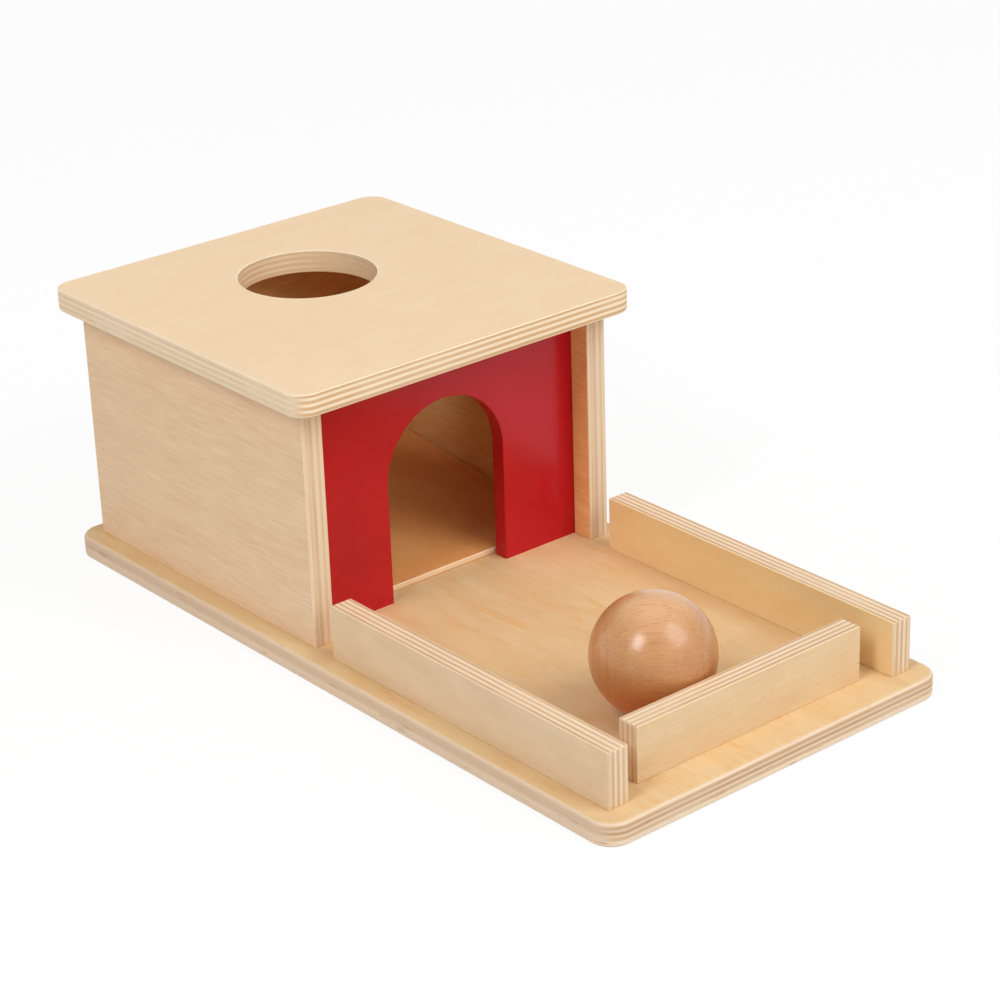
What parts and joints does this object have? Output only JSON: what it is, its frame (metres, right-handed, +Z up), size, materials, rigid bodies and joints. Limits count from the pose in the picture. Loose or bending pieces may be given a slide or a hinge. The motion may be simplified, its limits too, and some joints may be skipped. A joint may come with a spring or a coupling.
{
  "type": "object permanence box",
  "caption": "Plywood toy box with a round drop hole in its lid, a ramp inside, a red arched doorway and a railed tray where the wooden ball rolls out.",
  "frame": {"origin": "on the underside of the base board, at the middle of the overall length and width", "axes": "+Z up, +X across the box to the right, -Y towards the tray end and +Y towards the back of the box"},
  "size_m": [0.16, 0.3198, 0.1125],
  "materials": {
    "birch_ply": "clear matt lacquer on birch plywood",
    "red_paint": "satin red paint on plywood",
    "thin_ply": "clear matt lacquer on thin plywood",
    "pine": "bare sawn softwood",
    "beech": "clear gloss lacquer on turned beech",
    "dowel_beech": "bare beech"
  },
  "bodies": {
    "box": {"base_board": "birch_ply", "left_wall": "birch_ply", "right_wall": "birch_ply", "back_wall": "birch_ply", "front_panel": "red_paint", "lid": "birch_ply", "ramp": "thin_ply", "ramp_cleat": "pine", "left_rail": "birch_ply", "right_rail": "birch_ply", "front_rail": "birch_ply", "left_wall_dowels": "dowel_beech", "right_wall_dowels": "dowel_beech", "back_wall_dowels": "dowel_beech", "lid_dowels": "dowel_beech", "left_rail_dowels": "dowel_beech", "right_rail_dowels": "dowel_beech", "front_rail_dowels": "dowel_beech"},
    "ball": {"ball": "beech"}
  },
  "joints": [
    {"name": "ball_roll", "type": "slide", "parent": "box", "child": "ball", "axis": [0.1213, 0.9926, 0], "range_m": [0, 0.1278]}
  ]
}
